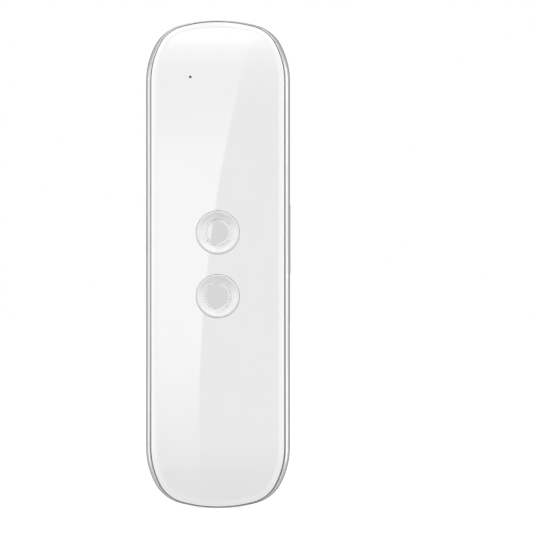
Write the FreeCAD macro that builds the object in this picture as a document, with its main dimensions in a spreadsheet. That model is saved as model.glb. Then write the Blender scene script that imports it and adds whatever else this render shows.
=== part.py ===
import FreeCAD, Part
import math
import os
import re

import Sketcher

# Handheld translator, in millimetres. Z runs along the body, the front faces -Y, and +X is
# to the right seen from the front. The origin is the middle of the body.

Vector = FreeCAD.Vector
ALONG_X = FreeCAD.Rotation(Vector(0, 1, 0), 90)
ALONG_Y = FreeCAD.Rotation(Vector(1, 0, 0), -90)
ALONG_Z = FreeCAD.Rotation()

DIMENSIONS = (
    ("case_length", 142.0, "tip to tip"),
    ("case_width", 42.0, "across the plated frame"),
    ("case_depth", 12.0, "face of the cover to the crown of the back"),
    ("crown_arc", 44.0, "radius of the outline at the tips"),
    ("corner_arc", 11.4, "radius of the outline at the shoulders"),
    ("side_arc", 22.5, "radius of the outline where it runs into the sides"),
    ("straight_side", 53.3, "middle to the end of the straight side"),
    ("panel_width", 39.24, "across the front cover"),
    ("panel_tip_gap", 0.24, "frame showing past the cover at the tips"),
    ("panel_crown_arc", 39.5, "cover outline at the tips"),
    ("panel_corner_arc", 10.2, "cover outline at the shoulders"),
    ("panel_side_arc", 23.4, "cover outline into the sides"),
    ("panel_thickness", 1.0, "front cover"),
    ("panel_gap", 0.26, "cover to frame all round"),
    ("bevel_width", 0.86, "sloped edge of the cover"),
    ("bevel_drop", 0.215, "fall of the sloped edge"),
    ("bevel_blend", 6.6, "radius between the face and its sloped edge"),
    ("adhesive_thickness", 0.1, "die-cut sheet under the cover"),
    ("tape_gap", 0.04, "die-cut sheet to the wall of its seat"),
    ("tape_margin", 1.0, "die-cut sheet from a button's cap"),
    ("floor_thickness", 1.0, "tray floor behind the cover"),
    ("frame_wall", 2.0, "frame wall behind the floor"),
    ("rim_height", 1.5, "rounded part of the rim"),
    ("rim_setback", 0.32, "front edge of the rim behind the cover's face"),
    ("seam_setback", 3.0, "seam behind the cover's face"),
    ("seam_step", 0.15, "back shell stands inside the frame"),
    ("tongue_height", 0.9, "frame tongue inside the shell"),
    ("tongue_wall", 0.6, "frame tongue"),
    ("rebate_depth", 1.0, "step inside the shell's edge"),
    ("rebate_inset", 0.6, "step inside the shell's edge"),
    ("fit_gap", 0.08, "between moulded parts that slide together"),
    ("shell_wall", 1.2, "back shell"),
    ("back_arc", 70.0, "crown of the back, across"),
    ("edge_roll", 8.0, "rounding of the back into the sides"),
    ("board_setback", 4.4, "circuit board behind the cover's face"),
    ("board_thickness", 1.0, "circuit board"),
    ("board_width", 33.2, "circuit board"),
    ("board_length", 116.0, "circuit board without its tongue"),
    ("board_round", 0.8, "rounded corners of the board"),
    ("board_tongue_width", 13.0, "strip that carries the charging port"),
    ("board_tongue_end", 66.5, "middle to the end of that strip"),
    ("button_offset", 9.28, "middle to the centre of a button"),
    ("button_radius", 6.2, "button cap"),
    ("button_gap", 0.2, "cap to cover"),
    ("button_proud", 0.02, "cap edge behind the cover's face"),
    ("button_land", 5.75, "radius of the dished face"),
    ("button_round", 0.3, "rounded edge of the cap"),
    ("dish_depth", 0.2, "dished face"),
    ("dish_floor", 3.2, "radius of the flat middle of the dish"),
    ("button_skin", 1.3, "cap thickness over its hollow"),
    ("button_hollow", 5.0, "radius of the hollow"),
    ("flange_radius", 7.0, "flange behind the floor"),
    ("flange_thickness", 0.5, "flange behind the floor"),
    ("flange_gap", 0.1, "flange to floor"),
    ("stem_radius", 1.6, "stem on the switch"),
    ("button_travel", 0.3, "press of a button"),
    ("switch_side", 4.6, "front switch, square"),
    ("switch_height", 0.9, "front switch"),
    ("switch_well", 0.75, "depth under a front switch plunger"),
    ("plunger_radius", 1.0, "front switch plunger"),
    ("plunger_length", 0.6, "front switch plunger"),
    ("plunger_gap", 0.1, "plunger to switch"),
    ("microphone_across", 8.0, "front microphone left of the middle"),
    ("microphone_height", 54.5, "front microphone above the middle"),
    ("sound_hole_radius", 0.3, "pinhole in front of a microphone"),
    ("side_microphone_height", 55.8, "side microphone above the middle"),
    ("side_microphone_level", -0.4, "side sound hole, front to back"),
    ("grille_height", 44.2, "grille centre above the middle"),
    ("grille_hole_radius", 0.5, "grille hole"),
    ("grille_row", 2.4, "grille pitch along the body"),
    ("grille_column", 2.08, "grille pitch across the body"),
    ("speaker_width", 12.0, "speaker"),
    ("speaker_length", 20.0, "speaker"),
    ("speaker_front", 1.0, "speaker's rear face, front to back"),
    ("speaker_depth", 2.9, "speaker"),
    ("speaker_wall", 1.2, "rim of the speaker frame and of its gasket"),
    ("speaker_corner", 1.5, "corners of the speaker frame"),
    ("basket_depth", 1.6, "hollow in front of the cone"),
    ("basket_corner", 3.0, "corners of the cone and its hollow"),
    ("cone_level", 0.9, "cone behind the speaker's rim"),
    ("cone_thickness", 0.2, "cone"),
    ("magnet_inset", 3.0, "magnet inside the speaker's edge"),
    ("magnet_depth", 1.5, "magnet"),
    ("gasket_thickness", 0.4, "foam between speaker and shell"),
    ("mesh_thickness", 0.1, "dust mesh on the shell"),
    ("mesh_inset", 0.2, "dust mesh inside the speaker's edge"),
    ("fence_wall", 0.8, "ribs of the back shell"),
    ("fence_gap", 0.2, "rib to the part it locates"),
    ("fence_start", 1.6, "front edge of the speaker fence"),
    ("boss_across", 12.5, "screw bosses"),
    ("boss_height", 61.0, "screw bosses"),
    ("boss_radius", 2.1, "screw bosses"),
    ("screw_radius", 0.7, "case screw"),
    ("screw_head_radius", 1.25, "case screw"),
    ("screw_head_height", 0.45, "case screw"),
    ("screw_length", 5.5, "case screw under its head"),
    ("standoff_across", 14.7, "board standoffs"),
    ("standoff_top", 38.0, "upper board standoffs"),
    ("standoff_bottom", -24.0, "lower board standoffs"),
    ("standoff_radius", 1.7, "board standoffs"),
    ("board_screw_radius", 0.6, "board screw"),
    ("board_screw_head_radius", 1.1, "board screw"),
    ("board_screw_head_height", 0.4, "board screw"),
    ("board_screw_length", 2.8, "board screw under its head"),
    ("key_level", 0.2, "volume key, front to back"),
    ("key_height", 7.35, "volume key above the middle"),
    ("key_length", 20.4, "volume key"),
    ("key_width", 2.2, "volume key"),
    ("key_proud", 0.85, "volume key above the shell"),
    ("key_gap", 0.12, "volume key to its slot"),
    ("key_end_gap", 0.2, "volume key to the ends of its slot"),
    ("key_round", 0.3, "rounded edges of the volume key"),
    ("key_flange_inner", 17.1, "inside face of the key's flange"),
    ("key_flange_outer", 17.7, "outside face of the key's flange"),
    ("key_flange_back", 0.8, "back edge of the key's flange"),
    ("key_ear", 1.8, "flange past the key's ends"),
    ("key_nub_radius", 0.4, "rocking nub"),
    ("key_nub_reach", 16.95, "tip of the rocking nub"),
    ("post_width", 2.0, "shell post behind the nub"),
    ("post_inner", 15.6, "shell post"),
    ("post_outer", 16.9, "shell post"),
    ("side_switch_spacing", 7.5, "volume switches either side of the nub"),
    ("side_switch_length", 4.6, "side switch along the body"),
    ("side_switch_depth", 2.5, "side switch across the body"),
    ("side_switch_height", 1.7, "side switch above the board"),
    ("side_switch_face", 16.2, "face of a volume switch"),
    ("side_well", 1.1, "depth of a side switch's mouth"),
    ("side_plunger_length", 1.5, "side switch plunger"),
    ("side_plunger_proud", 0.9, "side switch plunger outside its switch"),
    ("side_plunger_width", 1.8, "side switch plunger along the body"),
    ("side_plunger_height", 0.9, "side switch plunger, front to back"),
    ("power_height", 28.4, "power key above the middle"),
    ("power_level", 1.45, "power key, front to back"),
    ("power_length", 6.0, "power key"),
    ("power_width", 1.9, "power key"),
    ("power_sunk", 0.12, "power key below the shell's surface"),
    ("power_gap", 0.1, "power key to its window"),
    ("recess_length", 9.1, "scooped recess round the power key"),
    ("recess_width", 2.3, "scooped recess"),
    ("recess_depth", 0.8, "scooped recess"),
    ("pad_inner", 15.9, "thickened wall behind the recess"),
    ("pad_margin", 1.3, "thickened wall round the recess"),
    ("power_flange", 0.6, "power key flange"),
    ("power_flange_gap", 0.1, "power key flange to the wall"),
    ("power_face", 14.3, "face of the power switch"),
    ("battery_width", 27.0, "battery"),
    ("battery_top", -9.0, "upper end of the battery"),
    ("battery_bottom", -57.0, "lower end of the battery"),
    ("battery_thickness", 3.6, "battery"),
    ("battery_round", 1.0, "rounded edges of the battery"),
    ("tape_thickness", 0.15, "foam tape under the battery"),
    ("tape_end", 6.0, "foam tape inside the battery's ends"),
    ("processor_across", -0.5, "middle to the processor's centre"),
    ("processor_up", 5.5, "middle to the processor's centre"),
    ("processor_width", 11.0, "processor"),
    ("processor_length", 11.0, "processor"),
    ("processor_depth", 0.9, "processor"),
    ("shield_across", 1.0, "middle to the shield can's centre"),
    ("shield_up", 6.0, "middle to the shield can's centre"),
    ("shield_width", 20.0, "shield can"),
    ("shield_length", 22.0, "shield can"),
    ("shield_depth", 1.7, "shield can"),
    ("shield_sheet", 0.25, "shield can"),
    ("antenna_across", 8.5, "middle to the antenna's centre"),
    ("antenna_up", 56.9, "middle to the antenna's centre"),
    ("antenna_width", 7.0, "chip antenna"),
    ("antenna_length", 1.8, "chip antenna"),
    ("antenna_depth", 0.8, "chip antenna"),
    ("plug_across", -12.2, "middle to the battery plug's centre"),
    ("plug_up", -7.0, "middle to the battery plug's centre"),
    ("plug_width", 4.0, "battery plug"),
    ("plug_length", 3.2, "battery plug"),
    ("plug_depth", 1.3, "battery plug"),
    ("microphone_width", 2.8, "front microphone"),
    ("microphone_length", 3.8, "front microphone"),
    ("microphone_depth", 1.0, "microphones"),
    ("boot_radius", 1.3, "rubber boot of the front microphone"),
    ("side_microphone_inner", 13.0, "inner end of the side microphone"),
    ("side_microphone_outer", 16.0, "outer end of the side microphone"),
    ("side_microphone_width", 3.2, "side microphone along the body"),
    ("side_boot_reach", 17.9, "outer end of the side microphone's boot"),
    ("side_boot_width", 2.4, "boot of the side microphone"),
    ("port_width", 7.5, "charging port, wide side"),
    ("port_narrow", 5.5, "charging port, narrow side"),
    ("port_height", 2.5, "charging port"),
    ("port_upright", 1.2, "straight part of the port's ends"),
    ("port_wall", 0.3, "charging port sheet"),
    ("port_mouth", 69.3, "middle to the mouth of the port"),
    ("port_depth", 5.4, "charging port"),
    ("port_clearance", 0.3, "shell opening round the port"),
    ("tongue_half", 1.8, "half the width of the port's tongue"),
    ("tongue_low", 0.1, "near face of the tongue behind the port's middle"),
    ("tongue_thickness", 0.5, "tongue"),
    ("tongue_recess", 0.6, "mouth of the port to the tongue"),
    ("insert_depth", 1.0, "block behind the tongue"),
    ("insert_gap", 0.1, "block to the port's sheet"),
)

# Levels from the front to the back, as formulas of the sheet
FACE = "-case_depth / 2"
PANEL_BACK = f"{FACE} + panel_thickness"
FLOOR_FRONT = f"{PANEL_BACK} + adhesive_thickness"
FLOOR_BACK = f"{FLOOR_FRONT} + floor_thickness"
SEAM = f"{FACE} + seam_setback"
RIM_FRONT = f"{FACE} + rim_setback"
BOARD_FRONT = f"{FACE} + board_setback"
BOARD_BACK = f"{BOARD_FRONT} + board_thickness"
CROWN = "case_depth / 2"
DISH_RADIUS = "((button_land - dish_floor) ^ 2 + dish_depth ^ 2) / (2 * dish_depth)"
PLUNGER_STAND = "(button_travel + plunger_gap / 2)"

doc = FreeCAD.newDocument("HandheldTranslator")
sheet = doc.addObject("Spreadsheet::Sheet", "Dimensions")
for row, (alias, size, note) in enumerate(DIMENSIONS, start=1):
    sheet.set(f"A{row}", note)
    sheet.set(f"B{row}", str(size))
    sheet.setAlias(f"B{row}", alias)
doc.recompute()

sub_parts = []


# Formulas and bindings
def in_sheet(formula):
    """Put the sheet's name before each alias of a formula."""
    return re.sub(r"[a-z]+(?:_[a-z]+)+", lambda found: "Dimensions." + found.group(0), formula)


def number(formula):
    return float(sheet.evalExpression(in_sheet(formula)))


def bind(thing, path, formula):
    thing.setExpression(path, in_sheet(formula))


def minus(formula):
    return f"-({formula})"


def finished(thing, label, solids=1):
    """Note an object as a sub-part of the product, with the solids that it should have."""
    thing.Label = label
    sub_parts.append((thing, solids))
    return thing


# Sketches
def new_body(name):
    return doc.addObject("PartDesign::Body", name)


def new_sketch(body, role, name, level="0"):
    """A sketch on one of the body's origin planes, moved to a level along that plane's axis."""
    plane = next(item for item in body.Origin.OriginFeatures if item.Role == role)
    sketch = body.newObject("Sketcher::SketchObject", name)
    sketch.AttachmentSupport = [(plane, "")]
    sketch.MapMode = "FlatFace"
    if level != "0":
        bind(sketch, "AttachmentOffset.Base.z", minus(level) if role == "XZ_Plane" else level)
    return sketch


def dimension(sketch, kind, places, formula):
    index = sketch.addConstraint(Sketcher.Constraint(kind, *places, number(formula)))
    bind(sketch, f"Constraints[{index}]", formula)


def pin(sketch, geometry, point, across, up):
    """Hold a point at a place that two formulas give."""
    if across == "0":
        sketch.addConstraint(Sketcher.Constraint("PointOnObject", geometry, point, -2))
    else:
        dimension(sketch, "DistanceX", (-1, 1, geometry, point), across)
    if up == "0":
        sketch.addConstraint(Sketcher.Constraint("PointOnObject", geometry, point, -1))
    else:
        dimension(sketch, "DistanceY", (-1, 1, geometry, point), up)


def circle(sketch, across, up, radius):
    centre = Vector(number(across), number(up), 0)
    geometry = sketch.addGeometry(Part.Circle(centre, Vector(0, 0, 1), number(radius)))
    pin(sketch, geometry, 3, across, up)
    dimension(sketch, "Radius", (geometry,), radius)


def polygon(sketch, corners):
    """Straight edges through corners, each a pair of formulas."""
    places = [Vector(number(across), number(up), 0) for across, up in corners]
    first = sketch.GeometryCount
    for index, start in enumerate(places):
        end = places[(index + 1) % len(places)]
        sketch.addGeometry(Part.LineSegment(start, end))
    for index, (across, up) in enumerate(corners):
        following = first + (index + 1) % len(corners)
        sketch.addConstraint(Sketcher.Constraint("Coincident", first + index, 2, following, 1))
        pin(sketch, first + index, 1, across, up)


def rectangle(sketch, left, right, bottom, top):
    polygon(sketch, ((left, bottom), (right, bottom), (right, top), (left, top)))


def stadium(sketch, across, up, half_length, radius):
    """A slot along the sketch's second axis, half_length from its middle to each arc's centre."""
    x, y = number(across), number(up)
    half, r = number(half_length), number(radius)
    corner = (Vector(x + r, y - half, 0), Vector(x + r, y + half, 0),
              Vector(x - r, y + half, 0), Vector(x - r, y - half, 0))
    axis = Vector(0, 0, 1)
    edges = (
        Part.LineSegment(corner[0], corner[1]),
        Part.ArcOfCircle(Part.Circle(Vector(x, y + half, 0), axis, r), 0, math.pi),
        Part.LineSegment(corner[2], corner[3]),
        Part.ArcOfCircle(Part.Circle(Vector(x, y - half, 0), axis, r), math.pi, 2 * math.pi),
    )
    first = sketch.GeometryCount
    for edge in edges:
        sketch.addGeometry(edge)
    for index in range(4):
        following = first + (index + 1) % 4
        sketch.addConstraint(Sketcher.Constraint("Tangent", first + index, 2, following, 1))
    pin(sketch, first + 1, 3, across, f"{up} + {half_length}")
    pin(sketch, first + 3, 3, across, f"{up} - {half_length}")
    dimension(sketch, "Radius", (first + 1,), radius)


def case_outline(inset="0"):
    """Formulas of the case's outline, drawn in by an inset."""
    return {
        "half_width": f"case_width / 2 - ({inset})",
        "half_length": f"case_length / 2 - ({inset})",
        "crown": f"crown_arc - ({inset})",
        "corner": f"corner_arc - ({inset})",
        "side": f"side_arc - ({inset})",
    }


def panel_outline(inset="0"):
    """Formulas of the front cover's outline, drawn in by an inset."""
    return {
        "half_width": f"panel_width / 2 - ({inset})",
        "half_length": f"case_length / 2 - panel_tip_gap - ({inset})",
        "crown": f"panel_crown_arc - ({inset})",
        "corner": f"panel_corner_arc - ({inset})",
        "side": f"panel_side_arc - ({inset})",
    }


def between(first, second, share):
    """Formulas of an outline that lies a share of the way from the first to the second."""
    return {key: f"({first[key]}) * {1 - share} + ({second[key]}) * {share}" for key in first}


def draw_outline(sketch, outline):
    """The long outline: straight sides, and at each end a side, a corner and a crown arc."""
    half_width = number(outline["half_width"])
    straight = number("straight_side")
    crown, corner, side = (number(outline[key]) for key in ("crown", "corner", "side"))
    crown_centre = Vector(0, number(outline["half_length"]) - crown, 0)
    side_centre = Vector(half_width - side, straight, 0)

    # The corner arc touches the crown arc and the side arc from inside
    apart = side_centre - crown_centre
    reach = (crown - corner) ** 2 - (side - corner) ** 2
    shift = (reach + apart.Length ** 2) / (2 * apart.Length)
    offset = math.sqrt((crown - corner) ** 2 - shift ** 2)
    direction = Vector(apart).normalize()
    sideways = Vector(-direction.y, direction.x, 0)
    corner_centre = crown_centre + direction * shift
    corner_centre += sideways * (offset if sideways.x > 0 else -offset)
    to_crown = corner_centre - crown_centre
    to_side = corner_centre - side_centre
    crown_angle = math.atan2(to_crown.y, to_crown.x)
    side_angle = math.atan2(to_side.y, to_side.x)

    def arc(centre, flip_x, flip_y, radius, start, end):
        place = Vector(centre.x * flip_x, centre.y * flip_y, 0)
        return Part.ArcOfCircle(Part.Circle(place, Vector(0, 0, 1), radius), start, end)

    half_turn = math.pi
    whole_turn = 2 * math.pi
    upper, lower = Vector(half_width, straight, 0), Vector(half_width, -straight, 0)
    edges = (
        Part.LineSegment(lower, upper),
        arc(side_centre, 1, 1, side, 0, side_angle),
        arc(corner_centre, 1, 1, corner, side_angle, crown_angle),
        arc(crown_centre, 1, 1, crown, crown_angle, half_turn - crown_angle),
        arc(corner_centre, -1, 1, corner, half_turn - crown_angle, half_turn - side_angle),
        arc(side_centre, -1, 1, side, half_turn - side_angle, half_turn),
        Part.LineSegment(Vector(-half_width, straight, 0), Vector(-half_width, -straight, 0)),
        arc(side_centre, -1, -1, side, half_turn, half_turn + side_angle),
        arc(corner_centre, -1, -1, corner, half_turn + side_angle, half_turn + crown_angle),
        arc(crown_centre, 1, -1, crown, half_turn + crown_angle, whole_turn - crown_angle),
        arc(corner_centre, 1, -1, corner, whole_turn - crown_angle, whole_turn - side_angle),
        arc(side_centre, 1, -1, side, whole_turn - side_angle, whole_turn),
    )
    first = sketch.GeometryCount
    for edge in edges:
        sketch.addGeometry(edge)
    for index in range(len(edges)):
        following = first + (index + 1) % len(edges)
        sketch.addConstraint(Sketcher.Constraint("Tangent", first + index, 2, following, 1))
    for index in (0, 6):
        sketch.addConstraint(Sketcher.Constraint("Vertical", first + index))
    pin(sketch, first, 1, outline["half_width"], "-straight_side")
    dimension(sketch, "DistanceY", (-1, 1, first, 2), "straight_side")
    pin(sketch, first + 6, 1, minus(outline["half_width"]), "straight_side")
    dimension(sketch, "DistanceY", (-1, 1, first + 6, 2), "-straight_side")
    for index, sign in ((3, ""), (9, "-")):
        pin(sketch, first + index, 3, "0", f"{sign}({outline['half_length']} - ({outline['crown']}))")
        dimension(sketch, "Radius", (first + index,), outline["crown"])
    for group, radius in (((2, 4, 8, 10), outline["corner"]), ((1, 5, 7, 11), outline["side"])):
        dimension(sketch, "Radius", (first + group[0],), radius)
        for index in group[1:]:
            sketch.addConstraint(Sketcher.Constraint("Equal", first + group[0], first + index))


def outline_sketch(body, name, level, *outlines):
    sketch = new_sketch(body, "XZ_Plane", name, level)
    for outline in outlines:
        draw_outline(sketch, outline)
    return sketch


# Features. On the XZ plane a pad grows to the front and a pocket cuts to the back, unless turned
def pad(body, sketch, length, backward=False):
    feature = body.newObject("PartDesign::Pad", sketch.Name + "Pad")
    feature.Profile = sketch
    bind(feature, "Length", length)
    feature.Reversed = backward
    doc.recompute()
    return feature


def pocket(body, sketch, length=None, forward=False):
    """Cut to a length, or right through, and make sure that something was cut."""
    before = body.Shape.Volume
    feature = body.newObject("PartDesign::Pocket", sketch.Name + "Pocket")
    feature.Profile = sketch
    if length is None:
        feature.Type = "ThroughAll"
    else:
        bind(feature, "Length", length)
    feature.Reversed = forward
    doc.recompute()
    if not body.Shape.Volume < before:
        raise RuntimeError(f"{feature.Name} cuts nothing")
    return feature


def revolve(body, sketch):
    feature = body.newObject("PartDesign::Revolution", sketch.Name + "Turn")
    feature.Profile = sketch
    feature.ReferenceAxis = (sketch, ["V_Axis"])
    feature.Angle = 360.0
    doc.recompute()
    return feature


def edges_of_faces(feature, wanted):
    """Names of the edges round each face that passes the test."""
    shape = feature.Shape
    chosen = [edge for face in shape.Faces if wanted(face) for edge in face.Edges]
    names = []
    for index, edge in enumerate(shape.Edges, start=1):
        if any(edge.isSame(other) for other in chosen):
            names.append(f"Edge{index}")
    return names


def edges_where(feature, wanted):
    """Names of the edges that pass the test."""
    names = []
    for index, edge in enumerate(feature.Shape.Edges, start=1):
        if wanted(edge):
            names.append(f"Edge{index}")
    return names


def round_edges(body, base, edges, radius):
    feature = body.newObject("PartDesign::Fillet", base.Name + "Round")
    feature.Base = (base, edges)
    bind(feature, "Radius", radius)
    doc.recompute()
    return feature


# Primitives and booleans
def block(name, low, high):
    """A box between two corners, each three formulas."""
    box = doc.addObject("Part::Box", name)
    for path, start, end in zip(("Length", "Width", "Height"), low, high):
        bind(box, path, f"({end}) - ({start})")
    for axis, start in zip("xyz", low):
        bind(box, f"Placement.Base.{axis}", start)
    return box


def cylinder(name, base, turn, radius, height):
    """A cylinder from its base centre, three formulas, along the turned axis."""
    tube = doc.addObject("Part::Cylinder", name)
    tube.Placement = FreeCAD.Placement(Vector(), turn)
    for axis, start in zip("xyz", base):
        bind(tube, f"Placement.Base.{axis}", start)
    bind(tube, "Radius", radius)
    bind(tube, "Height", height)
    return tube


def cut(name, base, tool):
    result = doc.addObject("Part::Cut", name)
    result.Base = base
    result.Tool = tool
    return result


def joined(name, pieces):
    result = doc.addObject("Part::MultiFuse", name)
    result.Shapes = pieces
    return result


def common(name, base, tool):
    result = doc.addObject("Part::Common", name)
    result.Base = base
    result.Tool = tool
    return result


def soften(name, base, radius, wanted):
    """Round the edges of a primitive or boolean that pass the test."""
    doc.recompute()
    size = number(radius)
    result = doc.addObject("Part::Fillet", name)
    result.Base = base
    picked = []
    for index, edge in enumerate(base.Shape.Edges, start=1):
        if wanted(edge):
            picked.append((index, size, size))
    result.Edges = picked
    return result


def grouped(name, pieces):
    result = doc.addObject("Part::Compound", name)
    result.Links = pieces
    return result


def upright(edge):
    """Whether an edge runs from the front to the back."""
    return runs_along(edge, Vector(0, 1, 0))


def runs_along(edge, axis):
    """Whether a straight edge lies along an axis."""
    if edge.Curve.TypeId != "Part::GeomLine":
        return False
    return abs(edge.Curve.Direction.dot(axis)) > 0.999


# Front cover: glossy, with a sloped edge, two button holes and the microphone's pinhole
def make_front_panel():
    body = new_body("FrontPanel")
    outline = outline_sketch(body, "PanelOutline", PANEL_BACK, panel_outline("panel_gap"))
    plate = pad(body, outline, "panel_thickness")
    face = number(FACE)

    def on_face(shape_face):
        return abs(shape_face.BoundBox.YMax - face) < 0.01

    slope = body.newObject("PartDesign::Chamfer", "PanelSlope")
    slope.Base = (plate, edges_of_faces(plate, on_face))
    slope.ChamferType = "Two distances"
    bind(slope, "Size", "bevel_drop")
    bind(slope, "Size2", "bevel_width")
    doc.recompute()
    front_faces = [item for item in slope.Shape.Faces if on_face(item)]
    if abs(front_faces[0].BoundBox.XMax - number("panel_width / 2 - panel_gap - bevel_width")) > 0.1:
        bind(slope, "Size", "bevel_width")
        bind(slope, "Size2", "bevel_drop")
        doc.recompute()
    round_edges(body, slope, edges_of_faces(slope, on_face), "bevel_blend")

    holes = new_sketch(body, "XZ_Plane", "PanelHoles", PANEL_BACK)
    for side in ("", "-"):
        circle(holes, "0", f"{side}button_offset", "button_radius + button_gap")
    circle(holes, "-microphone_across", "microphone_height", "sound_hole_radius")
    pocket(body, holes, forward=True)
    return finished(body, "front_panel")


def make_panel_adhesive():
    body = new_body("PanelAdhesive")
    sheet_outline = outline_sketch(body, "AdhesiveOutline", FLOOR_FRONT, panel_outline("tape_gap"))
    pad(body, sheet_outline, "adhesive_thickness")
    holes = new_sketch(body, "XZ_Plane", "AdhesiveHoles", FLOOR_FRONT)
    for side in ("", "-"):
        circle(holes, "0", f"{side}button_offset", "button_radius + tape_margin")
    circle(holes, "-microphone_across", "microphone_height", "sound_hole_radius * 1.5")
    pocket(body, holes, forward=True)
    return finished(body, "panel_adhesive")


# Plated frame: rounded rim, tray floor behind the cover, and a tongue inside the back shell
def make_bezel_frame():
    body = new_body("BezelFrame")
    wall = outline_sketch(body, "FrameWall", SEAM, case_outline())
    pad(body, wall, "seam_setback - rim_setback - rim_height")

    sections = []
    for step, angle in enumerate((0, 28, 55, 78)):
        share = 1 - math.cos(math.radians(angle))
        rise = math.sin(math.radians(angle)) / math.sin(math.radians(78))
        level = f"{RIM_FRONT} + rim_height * {1 - rise}"
        shape = between(case_outline(), panel_outline("0"), share)
        sections.append(outline_sketch(body, f"Rim{step}", level, shape))
    rim = body.newObject("PartDesign::AdditiveLoft", "RimLoft")
    rim.Profile = sections[0]
    rim.Sections = sections[1:]
    doc.recompute()

    seat = outline_sketch(body, "PanelSeat", FLOOR_FRONT, panel_outline())
    pocket(body, seat, forward=True)
    inside = outline_sketch(body, "FrameInside", FLOOR_BACK, case_outline("frame_wall"))
    pocket(body, inside)

    tongue = "seam_step + rebate_inset + fit_gap"
    ring = outline_sketch(body, "TongueRing", SEAM, case_outline(tongue),
                          case_outline(f"{tongue} + tongue_wall"))
    pad(body, ring, "tongue_height", backward=True)

    standoffs = new_sketch(body, "XZ_Plane", "Standoffs", FLOOR_BACK)
    pilots = new_sketch(body, "XZ_Plane", "StandoffPilots", BOARD_FRONT)
    for sign in ("", "-"):
        for height in ("standoff_top", "standoff_bottom"):
            circle(standoffs, f"{sign}standoff_across", height, "standoff_radius")
            circle(pilots, f"{sign}standoff_across", height, "board_screw_radius")
    pad(body, standoffs, f"({BOARD_FRONT}) - ({FLOOR_BACK})", backward=True)
    pocket(body, pilots, "board_screw_length - board_thickness", forward=True)

    openings = new_sketch(body, "XZ_Plane", "FloorOpenings", FLOOR_BACK)
    heads = new_sketch(body, "XZ_Plane", "HeadSeats", f"{FLOOR_FRONT} + screw_head_height")
    for sign in ("", "-"):
        circle(openings, "0", f"{sign}button_offset", "button_radius + button_gap + fit_gap")
        for height in ("boss_height", "-boss_height"):
            circle(openings, f"{sign}boss_across", height, "screw_radius")
            circle(heads, f"{sign}boss_across", height, "screw_head_radius + fit_gap")
    circle(openings, "-microphone_across", "microphone_height", "sound_hole_radius * 2")
    pocket(body, openings, forward=True)
    pocket(body, heads, forward=True)
    return finished(body, "bezel_frame")


# Back shell: an outer form less a core, the way the moulding tool makes it
def crowned_form(name, inset):
    """The outline with a crowned back and rolled edges, all drawn in by one inset."""
    body = new_body(name)
    form = outline_sketch(body, f"{name}Outline", f"{FLOOR_FRONT} - 1",
                          case_outline(f"seam_step + {inset}"))
    pad(body, form, f"({CROWN}) - ({FLOOR_FRONT} - 1) - {inset}", backward=True)

    crown = number("back_arc") - number(inset)
    centre_level = number("case_depth / 2 - back_arc")
    half = number("case_width / 2 + 2")
    start = math.asin(half / crown)
    above = number("case_depth")
    profile = new_sketch(body, "XY_Plane", f"{name}Crown")
    circle_of_crown = Part.Circle(Vector(0, centre_level, 0), Vector(0, 0, 1), crown)
    profile.addGeometry(Part.ArcOfCircle(circle_of_crown, math.pi / 2 - start, math.pi / 2 + start))
    edge_level = centre_level + crown * math.cos(start)
    corners = (Vector(-half, edge_level, 0), Vector(-half, above, 0),
               Vector(half, above, 0), Vector(half, edge_level, 0))
    for first, second in zip(corners, corners[1:]):
        profile.addGeometry(Part.LineSegment(first, second))
    for index, following in ((0, 1), (1, 2), (2, 3), (3, 0)):
        profile.addConstraint(Sketcher.Constraint("Coincident", index, 2, following, 1))
    pin(profile, 0, 3, "0", "case_depth / 2 - back_arc")
    dimension(profile, "Radius", (0,), f"back_arc - {inset}")
    pin(profile, 2, 1, "-(case_width / 2 + 2)", "case_depth")
    pin(profile, 2, 2, "case_width / 2 + 2", "case_depth")
    profile.addConstraint(Sketcher.Constraint("Vertical", 1))
    profile.addConstraint(Sketcher.Constraint("Vertical", 3))

    before = body.Shape.Volume
    skim = body.newObject("PartDesign::Pocket", f"{name}Skim")
    skim.Profile = profile
    skim.Type = "Length"
    skim.SideType = "Symmetric"
    bind(skim, "Length", "case_length * 2")
    doc.recompute()
    if not body.Shape.Volume < before:
        raise RuntimeError(f"{name} has no crown")

    def is_crown(face):
        surface = face.Surface
        return surface.TypeId == "Part::GeomCylinder" and abs(surface.Radius - crown) < 0.01

    round_edges(body, skim, edges_of_faces(skim, is_crown), f"edge_roll - {inset}")
    return body


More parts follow.
